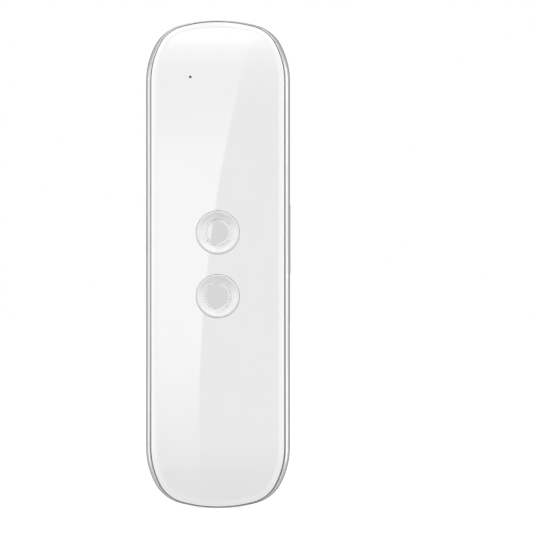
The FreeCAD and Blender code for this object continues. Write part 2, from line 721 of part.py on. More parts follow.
def make_back_shell():
    outer = crowned_form("ShellOuter", "0")
    trim = new_sketch(outer, "XZ_Plane", "SeamTrim", SEAM)
    rectangle(trim, "-case_width", "case_width", "-case_length", "case_length")
    pocket(outer, trim, forward=True)

    # What is cut out of the core stays as bosses, fences and pads inside the shell
    core = crowned_form("ShellCore", "shell_wall")
    bosses = new_sketch(core, "XZ_Plane", "Bosses", FLOOR_BACK)
    for sign in ("", "-"):
        for height in ("boss_height", "-boss_height"):
            circle(bosses, f"{sign}boss_across", height, "boss_radius")
            circle(bosses, f"{sign}boss_across", height, "screw_radius")
    pocket(core, bosses)

    half_width = "speaker_width / 2 + fence_gap"
    half_length = "speaker_length / 2 + fence_gap"
    fence = new_sketch(core, "XZ_Plane", "SpeakerFence", "fence_start")
    for extra in ("0", "fence_wall"):
        rectangle(fence, f"-({half_width} + {extra})", f"{half_width} + {extra}",
                  f"grille_height - ({half_length} + {extra})",
                  f"grille_height + {half_length} + {extra}")
    pocket(core, fence)
    landing = new_sketch(core, "XZ_Plane", "SpeakerLanding",
                         "speaker_front + speaker_depth + gasket_thickness + mesh_thickness")
    rectangle(landing, f"-({half_width})", half_width,
              f"grille_height - ({half_length})", f"grille_height + {half_length}")
    pocket(core, landing)

    ribs = new_sketch(core, "XZ_Plane", "BatteryRibs", f"{BOARD_BACK} + 1.6")
    rectangle(ribs, "-battery_width / 3", "battery_width / 3",
              "battery_top + fence_gap", "battery_top + fence_gap + fence_wall")
    rectangle(ribs, "-battery_width / 3", "battery_width / 3",
              "battery_bottom - fence_gap - fence_wall", "battery_bottom - fence_gap")
    pocket(core, ribs)

    post = new_sketch(core, "XZ_Plane", "RockerPost", f"{BOARD_BACK} + fence_gap")
    rectangle(post, "post_inner", "post_outer",
              "key_height - post_width / 2", "key_height + post_width / 2")
    pocket(core, post)
    wall_pad = new_sketch(core, "XZ_Plane", "PowerPad",
                          "power_level - recess_width / 2 - pad_margin / 2")
    rectangle(wall_pad, "-case_width / 2", "-pad_inner",
              "power_height - recess_length / 2 - pad_margin",
              "power_height + recess_length / 2 + pad_margin")
    pocket(core, wall_pad, "recess_width + pad_margin")

    rebate_body = new_body("ShellRebate")
    rebate = outline_sketch(rebate_body, "RebateOutline", f"{SEAM} + rebate_depth",
                            case_outline("seam_step + rebate_inset"))
    pad(rebate_body, rebate, "rebate_depth * 2")

    moulding = cut("ShellMoulding", outer, joined("ShellInside", [core, rebate_body]))
    openings = [grille_holes(), volume_slot(), power_recess(), power_window(),
                side_sound_hole("SideSoundHole"), port_opening()]
    return finished(cut("BackShell", moulding, joined("ShellOpenings", openings)), "back_shell")


def grille_holes():
    """Five staggered columns of 7, 8, 7, 8 and 7 round holes."""
    body = new_body("GrilleHoles")
    holes = new_sketch(body, "XZ_Plane", "GrilleSketch", "case_depth / 2 - shell_wall * 2")
    for column in range(-2, 3):
        count = 7 if column % 2 == 0 else 8
        for row in range(count):
            step = row - (count - 1) / 2
            circle(holes, f"grille_column * {column}" if column else "0",
                   f"grille_height + grille_row * {step}", "grille_hole_radius")
    pad(body, holes, "shell_wall * 3", backward=True)
    return body


ROLL_ACROSS = "(case_width / 2 - seam_step - edge_roll)"


ROLL_LEVEL = ("(case_depth / 2 - back_arc + sqrt((back_arc - edge_roll) ^ 2"
              f" - {ROLL_ACROSS} ^ 2))")


def rolled_bar(name, sign, radius, low, high):
    """A round bar about the centre line of a rolled edge."""
    return cylinder(name, (f"{sign}{ROLL_ACROSS}", ROLL_LEVEL, low), ALONG_Z, radius,
                    f"({high}) - ({low})")


def volume_slot():
    half_width = "(key_width / 2 + key_gap)"
    half_length = "(key_length / 2 + key_end_gap)"
    return block("VolumeSlot",
                 ("post_outer + fit_gap", f"key_level - {half_width}", f"key_height - {half_length}"),
                 ("case_width / 2 + 1", f"key_level + {half_width}", f"key_height + {half_length}"))


def power_recess():
    """A slot-shaped scoop whose bottom follows the rolled edge."""
    body = new_body("PowerScoop")
    mouth = new_sketch(body, "YZ_Plane", "ScoopMouth", "-case_width / 2 - 1")
    stadium(mouth, "power_level", "power_height", "(recess_length - recess_width) / 2",
            "recess_width / 2")
    pad(body, mouth, "edge_roll")
    floor = rolled_bar("ScoopFloor", "-", "edge_roll - recess_depth",
                       "power_height - recess_length", "power_height + recess_length")
    return cut("PowerRecess", body, floor)


def power_window():
    half_width = "(power_width / 2 + power_gap)"
    half_length = "(power_length / 2 + power_gap)"
    return block("PowerWindow",
                 ("-case_width / 2", f"power_level - {half_width}", f"power_height - {half_length}"),
                 ("-pad_inner + 0.5", f"power_level + {half_width}", f"power_height + {half_length}"))


def side_sound_hole(name):
    return cylinder(name, ("-case_width / 2 - 1", "side_microphone_level", "side_microphone_height"),
                    ALONG_X, "sound_hole_radius", "4")


def port_section(sketch, grow="0"):
    """The charging port's section: straight ends and two slanted corners."""
    low = f"{BOARD_BACK} - ({grow})"
    high = f"{BOARD_BACK} + port_height + ({grow})"
    slant = f"{BOARD_BACK} + port_height - port_upright"
    wide = f"port_width / 2 + ({grow})"
    narrow = f"port_narrow / 2 + ({grow})"
    polygon(sketch, ((minus(narrow), low), (narrow, low), (wide, slant), (wide, high),
                     (minus(wide), high), (minus(wide), slant)))


def port_opening():
    body = new_body("PortOpening")
    section = new_sketch(body, "XY_Plane", "PortOpeningSection", "-port_mouth - 3")
    port_section(section, "port_clearance")
    length = pad(body, section, "6")
    round_edges(body, length, edges_where(length, lambda edge: runs_along(edge, Vector(0, 0, 1))),
                "port_clearance")
    return body


# Round buttons: a dished cap with a flange behind the floor and a stem on its switch
def make_button(label, sign):
    name = label.title().replace("_", "")
    body = new_body(name)
    edge = f"{FACE} + button_proud"
    seat = f"{FLOOR_BACK} + flange_gap"
    flange_back = f"{seat} + flange_thickness"
    hollow_front = f"{edge} + button_skin"
    stem_back = f"{BOARD_FRONT} - switch_height - {PLUNGER_STAND}"
    profile = new_sketch(body, "XY_Plane", f"{name}Profile")
    corners = [("button_land", edge), ("button_radius - button_round", edge),
               ("button_radius", f"{edge} + button_round"), ("button_radius", seat),
               ("flange_radius", seat), ("flange_radius", flange_back),
               ("button_hollow", flange_back), ("button_hollow", hollow_front),
               ("stem_radius", hollow_front), ("stem_radius", stem_back), ("0", stem_back),
               ("0", f"{edge} + dish_depth"), ("dish_floor", f"{edge} + dish_depth")]
    places = [Vector(number(across), number(up), 0) for across, up in corners]
    dish = number(DISH_RADIUS)
    half_turn = math.asin(number("button_land - dish_floor") / dish) / 2
    middle = Vector(places[-1].x + dish * math.sin(half_turn),
                    places[-1].y - dish * (1 - math.cos(half_turn)), 0)
    round_size = number("button_round")
    bend = Vector(places[1].x + round_size * math.sin(math.pi / 4),
                  places[2].y - round_size * math.cos(math.pi / 4), 0)
    for index, start in enumerate(places):
        end = places[(index + 1) % len(places)]
        if index == 1:
            profile.addGeometry(Part.Arc(start, bend, end))
        elif index == len(places) - 1:
            profile.addGeometry(Part.Arc(start, middle, end))
        else:
            profile.addGeometry(Part.LineSegment(start, end))
    # The dish's arc runs the other way round, so its first point is its end
    for index, (across, up) in enumerate(corners):
        following = (index + 1) % len(corners)
        turned, turned_next = index == len(corners) - 1, following == len(corners) - 1
        profile.addConstraint(Sketcher.Constraint("Coincident", index, 1 if turned else 2,
                                                  following, 2 if turned_next else 1))
        pin(profile, index, 2 if turned else 1, across, up)
    dimension(profile, "Radius", (1,), "button_round")
    dimension(profile, "Radius", (len(places) - 1,), DISH_RADIUS)
    revolve(body, profile)
    bind(body, "Placement.Base.z", f"{sign}button_offset")
    return finished(body, label)


def make_front_switch(label, sign):
    """A square switch under a button, and the plunger that the button's stem pushes."""
    name = label.title().replace("_", "")
    half = "switch_side / 2"
    front = f"{BOARD_FRONT} - switch_height"
    height = f"{sign}button_offset"
    case = block(f"{name}Case", (minus(half), front, f"{height} - {half}"),
                 (half, BOARD_FRONT, f"{height} + {half}"))
    case = soften(f"{name}CaseRound", case, "plunger_gap * 4", upright)
    well = cylinder(f"{name}Well", ("0", front, height), ALONG_Y,
                    "plunger_radius + plunger_gap", "switch_well")
    finished(cut(name, case, well), label)
    plunger = cylinder(f"{name}Plunger", ("0", f"{front} - {PLUNGER_STAND}", height), ALONG_Y,
                       "plunger_radius", "plunger_length")
    finished(plunger, f"{label}_plunger")


def side_switch_pair(label, sign, face, height):
    """A side-pushed switch on the back of the board, and its plunger."""
    name = label.title().replace("_", "")
    inner = f"({face} - side_switch_depth)"
    across = (inner, face) if sign == "" else (f"-({face})", f"-{inner}")
    half = "side_switch_length / 2"
    back = f"{BOARD_BACK} + side_switch_height"
    case = block(f"{name}Case", (across[0], BOARD_BACK, f"{height} - {half}"),
                 (across[1], back, f"{height} + {half}"))
    middle = f"{BOARD_BACK} + side_switch_height / 2"

    def bar(bar_name, inside, outside, extra):
        ends = (inside, outside) if sign == "" else (f"-({outside})", f"-({inside})")
        tall = f"(side_plunger_height / 2 + {extra})"
        wide = f"(side_plunger_width / 2 + {extra})"
        return block(bar_name, (ends[0], f"{middle} - {tall}", f"{height} - {wide}"),
                     (ends[1], f"{middle} + {tall}", f"{height} + {wide}"))

    well = bar(f"{name}Well", f"{face} - side_well", f"{face} + 1", "plunger_gap")
    finished(cut(name, case, well), label)
    outer_end = f"{face} + side_plunger_proud"
    finished(bar(f"{name}Plunger", f"{outer_end} - side_plunger_length", outer_end, "0"),
             f"{label}_plunger")


# Volume key: a rocker on the right side, its face parallel to the rolled edge
def make_volume_key():
    half_length = "key_length / 2"
    low_level = "key_level - key_width / 2"
    high_level = "key_level + key_width / 2"
    bar = block("VolumeBar", ("key_flange_inner", low_level, f"key_height - {half_length}"),
                ("case_width", high_level, f"key_height + {half_length}"))
    face = rolled_bar("VolumeFace", "", "edge_roll + key_proud",
                      "key_height - key_length", "key_height + key_length")
    cap = common("VolumeCap", bar, face)
    limit = number("case_width / 2 - seam_step - shell_wall")
    cap = soften("VolumeCapRound", cap, "key_round", lambda edge: edge.BoundBox.XMin > limit
                 or (edge.BoundBox.XMax > limit and runs_along(edge, Vector(0, 0, 1))))
    flange = block("VolumeFlange", ("key_flange_inner", low_level, f"key_height - {half_length} - key_ear"),
                   ("key_flange_outer", "key_flange_back", f"key_height + {half_length} + key_ear"))
    nub = cylinder("VolumeNub", ("key_nub_reach + key_nub_radius", low_level, "key_height"),
                   ALONG_Y, "key_nub_radius", "key_width")
    return finished(joined("VolumeKey", [cap, flange, nub]), "volume_key")


# Power key: flush in its scoop on the left side, with a flange behind the thickened wall
def make_power_key():
    half_length = "power_length / 2"
    half_width = "power_width / 2"
    flange_outer = "(pad_inner - power_flange_gap)"
    bar = block("PowerBar",
                ("-case_width / 2", f"power_level - {half_width}", f"power_height - {half_length}"),
                (f"-{flange_outer}", f"power_level + {half_width}", f"power_height + {half_length}"))
    face = rolled_bar("PowerFace", "-", "edge_roll - power_sunk",
                      "power_height - power_length", "power_height + power_length")
    cap = common("PowerCap", bar, face)
    flange = block("PowerFlange",
                   (f"-{flange_outer}", f"{BOARD_BACK} + fence_gap", f"power_height - {half_length} - 1"),
                   (f"-{flange_outer} + power_flange", f"power_level + {half_width}",
                    f"power_height + {half_length} + 1"))
    return finished(joined("PowerKey", [cap, flange]), "power_key")


# Circuit board, its parts and the screws
def make_main_board():
    body = new_body("MainBoard")
    half = "board_width / 2"
    end = "board_length / 2"
    tongue = "board_tongue_width / 2"
    outline = new_sketch(body, "XZ_Plane", "BoardOutline", BOARD_BACK)
    polygon(outline, ((tongue, "-board_tongue_end"), (tongue, minus(end)), (half, minus(end)),
                      (half, end), (minus(half), end), (minus(half), minus(end)),
                      (minus(tongue), minus(end)), (minus(tongue), "-board_tongue_end")))
    plate = pad(body, outline, "board_thickness")
    round_edges(body, plate, edges_where(plate, upright), "board_round")
    holes = new_sketch(body, "XZ_Plane", "BoardHoles", BOARD_FRONT)
    for sign in ("", "-"):
        for height in ("standoff_top", "standoff_bottom"):
            circle(holes, f"{sign}standoff_across", height, "board_screw_radius")
    pocket(body, holes)
    return finished(body, "main_board")


def make_screws(label, across, heights, head_level, head_radius, head_height, radius, length, forward):
    """A group of small screws, each a head and a plain shank."""
    name = label.title().replace("_", "")
    group = []
    for sign in ("", "-"):
        for index, height in enumerate(heights):
            tag = f"{name}{'Right' if sign == '' else 'Left'}{index}"
            place = f"{sign}{across}"
            if forward:
                head_base, shank_base = head_level, f"{head_level} - ({length})"
            else:
                head_base, shank_base = head_level, f"{head_level} + {head_height}"
            head = cylinder(f"{tag}Head", (place, head_base, height), ALONG_Y, head_radius, head_height)
            shank = cylinder(f"{tag}Shank", (place, shank_base, height), ALONG_Y, radius, length)
            group.append(joined(tag, [head, shank]))
    return finished(grouped(name, group), label, solids=len(group))


def on_board(name, part, inset="0", below="0"):
    """A block on the back of the board, from the part's own dimensions."""
    half_width = f"({part}_width / 2 - {inset})"
    half_length = f"({part}_length / 2 - {inset})"
    return block(name, (f"{part}_across - {half_width}", f"{BOARD_BACK} - {below}",
                        f"{part}_up - {half_length}"),
                 (f"{part}_across + {half_width}", f"{BOARD_BACK} + {part}_depth - {inset}",
                  f"{part}_up + {half_length}"))


def make_board_parts():
    finished(on_board("Processor", "processor"), "processor")
    can = soften("CanRound", on_board("CanOutside", "shield"), "board_round", upright)
    inside = on_board("CanInside", "shield", "shield_sheet", "board_thickness")
    finished(cut("ShieldCan", can, inside), "shield_can")
    finished(on_board("Antenna", "antenna"), "antenna")
    finished(on_board("BatteryPlug", "plug"), "battery_plug")


def make_microphones():
    front = f"({BOARD_FRONT} - microphone_depth)"
    across, up = "-microphone_across", "microphone_height"
    finished(block("FrontMicrophone",
                   (f"{across} - microphone_width / 2", front, f"{up} - microphone_length / 2"),
                   (f"{across} + microphone_width / 2", BOARD_FRONT, f"{up} + microphone_length / 2")),
             "front_microphone")
    boot_depth = f"({front} - ({FLOOR_BACK}))"
    boot = cylinder("FrontBootOutside", (across, FLOOR_BACK, up), ALONG_Y, "boot_radius", boot_depth)
    bore = cylinder("FrontBootBore", (across, f"{FLOOR_BACK} - {boot_depth}", up), ALONG_Y,
                    "sound_hole_radius * 2", f"{boot_depth} * 3")
    finished(cut("FrontBoot", boot, bore), "front_microphone_boot")

    height = "side_microphone_height"
    back = f"{BOARD_BACK} + microphone_depth"
    finished(block("SideMicrophone",
                   ("-side_microphone_outer", BOARD_BACK, f"{height} - side_microphone_width / 2"),
                   ("-side_microphone_inner", back, f"{height} + side_microphone_width / 2")),
             "side_microphone")
    boot = block("SideBootOutside",
                 ("-side_boot_reach", f"{BOARD_BACK} + tape_gap", f"{height} - side_boot_width / 2"),
                 ("-side_microphone_outer", back, f"{height} + side_boot_width / 2"))
    finished(cut("SideBoot", boot, side_sound_hole("SideBootBore")), "side_microphone_boot")


def make_speaker():
    """Speaker behind the grille: mesh, foam gasket, frame, cone and magnet."""
    half_width = "speaker_width / 2"
    half_length = "speaker_length / 2"
    back = "(speaker_front + speaker_depth)"
    gasket_back = f"({back} + gasket_thickness)"
    past = "speaker_depth"

    def slab(name, low_level, high_level, inset="0"):
        return block(name, (f"-{half_width} + {inset}", low_level,
                            f"grille_height - {half_length} + {inset}"),
                     (f"{half_width} - {inset}", high_level,
                      f"grille_height + {half_length} - {inset}"))

    mesh = slab("Mesh", gasket_back, f"{gasket_back} + mesh_thickness", "mesh_inset")
    finished(mesh, "speaker_mesh")
    opening = slab("GasketInside", f"{back} - {past}", f"{gasket_back} + {past}", "speaker_wall")
    finished(cut("Gasket", slab("GasketOutside", back, gasket_back), opening), "speaker_gasket")
    frame = soften("FrameRound", slab("FrameBlock", "speaker_front", back), "speaker_corner", upright)
    basket = slab("Basket", f"{back} - basket_depth", f"{back} + {past}", "speaker_wall")
    basket = soften("BasketRound", basket, "basket_corner", upright)
    seat = slab("MagnetSeat", f"speaker_front - {past}", f"{back} - speaker_wall", "magnet_inset")
    finished(cut("SpeakerFrame", frame, joined("SpeakerHollow", [basket, seat])), "speaker_frame")
    cone_front = f"({back} - cone_level)"
    cone = slab("ConeBlock", cone_front, f"{cone_front} + cone_thickness", "speaker_wall")
    finished(soften("ConeRound", cone, "basket_corner", upright), "speaker_cone")
    magnet = slab("Magnet", "speaker_front", "speaker_front + magnet_depth", "magnet_inset")
    finished(magnet, "speaker_magnet")


def make_battery():
    half = "battery_width / 2"
    low_level = f"{BOARD_BACK} + tape_thickness"
    cell = block("BatteryBlock", (minus(half), low_level, "battery_bottom"),
                 (half, f"{low_level} + battery_thickness", "battery_top"))
    cell = soften("BatteryRound", cell, "battery_round",
                  lambda edge: runs_along(edge, Vector(0, 0, 1)))
    finished(cell, "battery")
    finished(block("BatteryPad", ("-battery_width / 4", BOARD_BACK, "battery_bottom + tape_end"),
                   ("battery_width / 4", low_level, "battery_top - tape_end")), "battery_pad")


def make_charging_port():
    body = new_body("PortShell")
    section = new_sketch(body, "XY_Plane", "PortSection", "-port_mouth")
    port_section(section)
    port_section(section, "-port_wall")
    pad(body, section, "port_depth")
    finished(body, "charging_port_shell")
    middle = f"({BOARD_BACK} + port_height / 2)"
    far_end = "-port_mouth + port_depth"
    tongue = block("PortTongue", ("-tongue_half", f"{middle} + tongue_low", "-port_mouth + tongue_recess"),
                   ("tongue_half", f"{middle} + tongue_low + tongue_thickness", far_end))
    half_insert = "(port_narrow / 2 - port_wall - insert_gap)"
    back = block("PortBack", (f"-{half_insert}", f"{BOARD_BACK} + port_wall",
                              f"{far_end} - insert_depth"),
                 (half_insert, f"{BOARD_BACK} + port_height - port_wall", far_end))
    finished(joined("PortInsert", [tongue, back]), "charging_port_tongue")


make_front_panel()
make_panel_adhesive()
make_bezel_frame()
make_back_shell()
make_main_board()
for button_sign, button_side in (("", "upper"), ("-", "lower")):
    make_button(f"{button_side}_button", button_sign)
    make_front_switch(f"{button_side}_switch", button_sign)
make_volume_key()
side_switch_pair("volume_up_switch", "", "side_switch_face", "(key_height + side_switch_spacing)")
side_switch_pair("volume_down_switch", "", "side_switch_face", "(key_height - side_switch_spacing)")
make_power_key()
side_switch_pair("power_switch", "-", "power_face", "power_height")
make_board_parts()
make_microphones()
make_speaker()
make_battery()
make_charging_port()
make_screws("case_screws", "boss_across", ("boss_height", "-boss_height"), FLOOR_FRONT,
            "screw_head_radius", "screw_head_height", "screw_radius", "screw_length", False)
make_screws("board_screws", "standoff_across", ("standoff_top", "standoff_bottom"), BOARD_BACK,
            "board_screw_head_radius", "board_screw_head_height", "board_screw_radius",
            "board_screw_length", True)
doc.recompute()

# Every feature and every sub-part is sound before anything is written
for item in doc.Objects:
    if "Invalid" in item.State or "Error" in item.State:
        raise RuntimeError(f"{item.Name} failed: {item.State}")
for item, solids in sub_parts:
    shape = item.Shape
    if shape.isNull() or not shape.isValid():
        raise RuntimeError(f"{item.Label} has no sound shape")
    if len(shape.Solids) != solids:
        raise RuntimeError(f"{item.Label} has {len(shape.Solids)} solids, not {solids}")

os.makedirs("parts", exist_ok=True)
for item, solids in sub_parts:
    item.Shape.exportStep(f"parts/{item.Label}.step")
print(f"{len(sub_parts)} sub-parts written")
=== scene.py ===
import math

import bmesh
import bpy
from mathutils import Matrix, Vector


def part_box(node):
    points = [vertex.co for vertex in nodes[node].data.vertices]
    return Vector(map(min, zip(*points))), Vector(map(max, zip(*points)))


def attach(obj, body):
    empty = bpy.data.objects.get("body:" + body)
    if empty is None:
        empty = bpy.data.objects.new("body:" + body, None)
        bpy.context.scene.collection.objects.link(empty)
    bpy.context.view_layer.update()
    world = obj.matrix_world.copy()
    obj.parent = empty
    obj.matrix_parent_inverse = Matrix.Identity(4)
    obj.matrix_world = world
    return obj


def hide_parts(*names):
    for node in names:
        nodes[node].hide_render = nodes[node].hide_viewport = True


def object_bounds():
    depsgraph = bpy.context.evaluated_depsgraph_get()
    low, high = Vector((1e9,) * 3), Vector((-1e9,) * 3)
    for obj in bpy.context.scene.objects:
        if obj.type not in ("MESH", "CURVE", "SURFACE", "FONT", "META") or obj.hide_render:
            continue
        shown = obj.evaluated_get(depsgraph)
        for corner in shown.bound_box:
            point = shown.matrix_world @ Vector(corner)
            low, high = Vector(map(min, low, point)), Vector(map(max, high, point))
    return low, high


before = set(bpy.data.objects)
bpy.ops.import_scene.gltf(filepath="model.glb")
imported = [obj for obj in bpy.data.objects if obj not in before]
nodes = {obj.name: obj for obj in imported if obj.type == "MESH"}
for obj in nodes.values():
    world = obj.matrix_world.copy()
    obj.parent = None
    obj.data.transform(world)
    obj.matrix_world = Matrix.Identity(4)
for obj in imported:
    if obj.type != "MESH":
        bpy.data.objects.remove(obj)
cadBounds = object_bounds()
mm = 0.001
print("frame loaded:", len(nodes), "nodes")

# Camera: a long lens square to the front, with the unit left of the middle as in the picture
view = {
    "imageWidth": 533,              # pixels across the picture
    "unitMiddle": (217.8, 264.3),   # the unit's middle in the picture, in pixels
    "pixelsPerMm": 3.437,
    "distance": 1200 * mm,          # from the cover to the lens
    "sensor": 36,                   # mm, as cameras are measured
}

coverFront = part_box("front_panel")[0].y
widthSeen = view["imageWidth"] / view["pixelsPerMm"] * mm
pictureMiddle = view["imageWidth"] / 2
cameraData = bpy.data.cameras.new("camera")
cameraData.sensor_width = view["sensor"]
cameraData.lens = view["sensor"] * view["distance"] / widthSeen
camera = bpy.data.objects.new("camera", cameraData)
bpy.context.scene.collection.objects.link(camera)
camera.location = (
    (pictureMiddle - view["unitMiddle"][0]) / view["pixelsPerMm"] * mm,
    coverFront - view["distance"],
    (view["unitMiddle"][1] - pictureMiddle) / view["pixelsPerMm"] * mm,
)
camera.rotation_euler = (math.radians(90), 0, 0)
bpy.context.scene.camera = camera
bpy.context.scene.view_settings.view_transform = "Standard"
print("camera placed, lens", round(cameraData.lens), "mm")


def nodesOf(owner):
    owner.use_nodes = True
    return owner.node_tree.nodes, owner.node_tree.links


def addNode(tree, kind, inputs=None, **settings):
    node = tree.new(kind)
    for key, value in settings.items():
        setattr(node, key, value)
    for key, value in (inputs or {}).items():
        node.inputs[key].default_value = value
    return node


def levelRamp(tree, links, value, levels, unit=1.0):
    low, high, most = min(levels), max(levels), max(levels.values())
    along = addNode(tree, "ShaderNodeMapRange", {"From Min": low * unit, "From Max": high * unit})
    links.new(value, along.inputs["Value"])
    ramp = tree.new("ShaderNodeValToRGB")
    ramp.color_ramp.interpolation = "EASE"
    stops = ramp.color_ramp.elements
    for count, (level, brightness) in enumerate(sorted(levels.items())):
        position = (level - low) / (high - low)
        stop = stops[count] if count < 2 else stops.new(position)
        stop.position = position
        stop.color = (*[brightness / most] * 3, 1)
    links.new(along.outputs["Result"], ramp.inputs["Fac"])
    scaled = addNode(tree, "ShaderNodeMath", operation="MULTIPLY")
    scaled.inputs[1].default_value = most
    links.new(ramp.outputs["Color"], scaled.inputs[0])
    return scaled.outputs[0]


# Finishes: one for each slot of the record. Size is that of the colour's clouds, grain and height
# are the bump's width and depth, all three in mm; coatIndex is the lacquer's refractive index
finishes = {
    "cover_white": dict(colour=(0.845, 0.845, 0.845), wander=0.006, size=9, rough=(0.006, 0.014),
                        grain=2.5, height=0.0004, coat=1.0, coatIndex=1.8),
    "button_white": dict(colour=(0.72, 0.72, 0.72), wander=0.006, size=5, rough=(0.006, 0.014),
                         grain=2.0, height=0.0004, coat=1.0, coatIndex=2.4),
    "plated_rim": dict(colour=(0.65, 0.65, 0.652), wander=0.01, size=4, rough=(0.06, 0.10),
                       grain=0.9, height=0.0006, metal=1.0),
    "satin_silver": dict(colour=(0.74, 0.74, 0.742), wander=0.05, size=0.12, rough=(0.30, 0.36),
                         grain=0.10, height=0.0025, metal=0.85, coat=0.25),
    "key_silver": dict(colour=(0.68, 0.68, 0.682), wander=0.05, size=0.12, rough=(0.28, 0.34),
                       grain=0.10, height=0.0025, metal=0.85, coat=0.25),
    "board_green": dict(colour=(0.05, 0.19, 0.10), wander=0.25, size=1.6, rough=(0.35, 0.5),
                        grain=0.4, height=0.01),
    "black_plastic": dict(colour=(0.018, 0.018, 0.019), wander=0.15, size=0.5, rough=(0.45, 0.6),
                          grain=0.15, height=0.008),
    "switch_plastic": dict(colour=(0.05, 0.05, 0.055), wander=0.12, size=0.5, rough=(0.4, 0.55),
                           grain=0.15, height=0.008),
    "plunger_plastic": dict(colour=(0.66, 0.62, 0.54), wander=0.05, size=0.4, rough=(0.35, 0.5),
                            grain=0.15, height=0.006),
    "tinned_steel": dict(colour=(0.62, 0.63, 0.64), wander=0.08, size=0.6, rough=(0.25, 0.4),
                         grain=0.2, height=0.006, metal=1.0),
    "screw_steel": dict(colour=(0.46, 0.47, 0.48), wander=0.1, size=0.3, rough=(0.25, 0.4),
                        grain=0.1, height=0.004, metal=1.0),
    "black_foam": dict(colour=(0.02, 0.02, 0.02), wander=0.3, size=0.12, rough=(0.85, 0.95),
                       grain=0.12, height=0.04),
    "mesh_cloth": dict(colour=(0.012, 0.012, 0.012), wander=0.4, size=0.08, rough=(0.7, 0.85),
                       grain=0.08, height=0.03),
    "black_tape": dict(colour=(0.012, 0.012, 0.012), wander=0.2, size=0.4, rough=(0.5, 0.7),
                           grain=0.5, height=0.004),
    "battery_foil": dict(colour=(0.55, 0.56, 0.58), wander=0.06, size=0.8, rough=(0.3, 0.42),
                         grain=0.6, height=0.015, metal=0.7),
    "ceramic": dict(colour=(0.72, 0.69, 0.60), wander=0.06, size=0.4, rough=(0.5, 0.65),
                    grain=0.2, height=0.008),
    "white_plastic": dict(colour=(0.78, 0.76, 0.70), wander=0.04, size=0.5, rough=(0.4, 0.5),
                          grain=0.2, height=0.006),
}
# the two noises that all finishes share
cloud = {"detail": 3.0, "darkBelow": 0.3, "lightAbove": 0.7}
pore = {"detail": 2.0}


def makeFinish(name, colour, wander, size, rough, grain, height, metal=0.0, coat=0.0,
               coatIndex=1.5):
    material = bpy.data.materials.new(name)
    tree, links = nodesOf(material)
    shader = tree["Principled BSDF"]
    shader.inputs["Metallic"].default_value = metal
    shader.inputs["Coat Weight"].default_value = coat
    shader.inputs["Coat Roughness"].default_value = rough[0]
    shader.inputs["Coat IOR"].default_value = coatIndex
    place = tree.new("ShaderNodeTexCoord")
    clouds = addNode(tree, "ShaderNodeTexNoise",
                     {"Scale": 1 / (size * mm), "Detail": cloud["detail"]})
    links.new(place.outputs["Object"], clouds.inputs["Vector"])
    tones = tree.new("ShaderNodeValToRGB")
    for stop, side in zip(tones.color_ramp.elements, (1 - wander, 1 + wander)):
        stop.color = (*[min(channel * side, 1.0) for channel in colour], 1)
    tones.color_ramp.elements[0].position = cloud["darkBelow"]
    tones.color_ramp.elements[1].position = cloud["lightAbove"]
    links.new(clouds.outputs["Fac"], tones.inputs["Fac"])
    links.new(tones.outputs["Color"], shader.inputs["Base Color"])
    shine = addNode(tree, "ShaderNodeMapRange", {"To Min": rough[0], "To Max": rough[1]})
    links.new(clouds.outputs["Fac"], shine.inputs["Value"])
    links.new(shine.outputs["Result"], shader.inputs["Roughness"])
    pores = addNode(tree, "ShaderNodeTexNoise",
                    {"Scale": 1 / (grain * mm), "Detail": pore["detail"]})
    links.new(place.outputs["Object"], pores.inputs["Vector"])
    relief = addNode(tree, "ShaderNodeBump", {"Strength": 1.0, "Distance": height * mm})
    links.new(pores.outputs["Fac"], relief.inputs["Height"])
    links.new(relief.outputs["Normal"], shader.inputs["Normal"])
    return material


materials = {name: makeFinish(name, **finish) for name, finish in finishes.items()}

# Painted shade: a dark ring painted on the cover round the microphone's pinhole, wider than the
# hole, for the shade in and round it
pinhole = {
    "place": (-8.0 * mm, 54.5 * mm),    # across and up, from the middle
    "shadeRingRadius": 0.39 * mm,
    "blur": 0.02 * mm,
    "inkAndShade": 0.015,
}
# Painted shade: dark mouths painted round the grille's holes, a little wider than the holes, for
# the shade at their edges; the holes stand in columns half a row apart
grille = {
    "height": 44.2 * mm,                # its middle, above the unit's middle
    "column": 2.08 * mm,
    "row": 2.4 * mm,
    "reach": (5.2 * mm, 9.0 * mm),      # the last holes lie inside this, across and up
    "mouthShadeRadius": 0.57 * mm,
    "blur": 0.03 * mm,
    "inkAndShade": 0.004,
}


# Painted shade: mixes the base colour to a dark tone within a radius, standing in for the shade in
# and round a hole
def paintShadeWithin(tree, links, away, radius, blur, inkAndShade):
    shader = tree["Principled BSDF"]
    paint = shader.inputs["Base Color"].links[0].from_socket
    outside = addNode(tree, "ShaderNodeMapRange", {"From Min": radius - blur, "From Max": radius})
    links.new(away, outside.inputs["Value"])
    mixed = addNode(tree, "ShaderNodeMix", data_type="RGBA")
    mixed.inputs["A"].default_value = (inkAndShade, inkAndShade, inkAndShade, 1)
    links.new(outside.outputs["Result"], mixed.inputs["Factor"])
    links.new(paint, mixed.inputs["B"])
    links.new(mixed.outputs["Result"], shader.inputs["Base Color"])


def vectorStep(tree, links, source, operation, *values):
    step = addNode(tree, "ShaderNodeVectorMath", operation=operation)
    links.new(source, step.inputs[0])
    for count, value in enumerate(values):
        step.inputs[count + 1].default_value = value
    return step


# Painted shade: the dark ring round the microphone's pinhole
def addPinholeShadeRing(material):
    tree, links = nodesOf(material)
    place = tree.new("ShaderNodeTexCoord").outputs["Object"]
    flat = vectorStep(tree, links, place, "MULTIPLY", (1, 0, 1))
    middle = (pinhole["place"][0], 0, pinhole["place"][1])
    away = vectorStep(tree, links, flat.outputs[0], "DISTANCE", middle)
    paintShadeWithin(tree, links, away.outputs["Value"], pinhole["shadeRingRadius"], pinhole["blur"],
              pinhole["inkAndShade"])
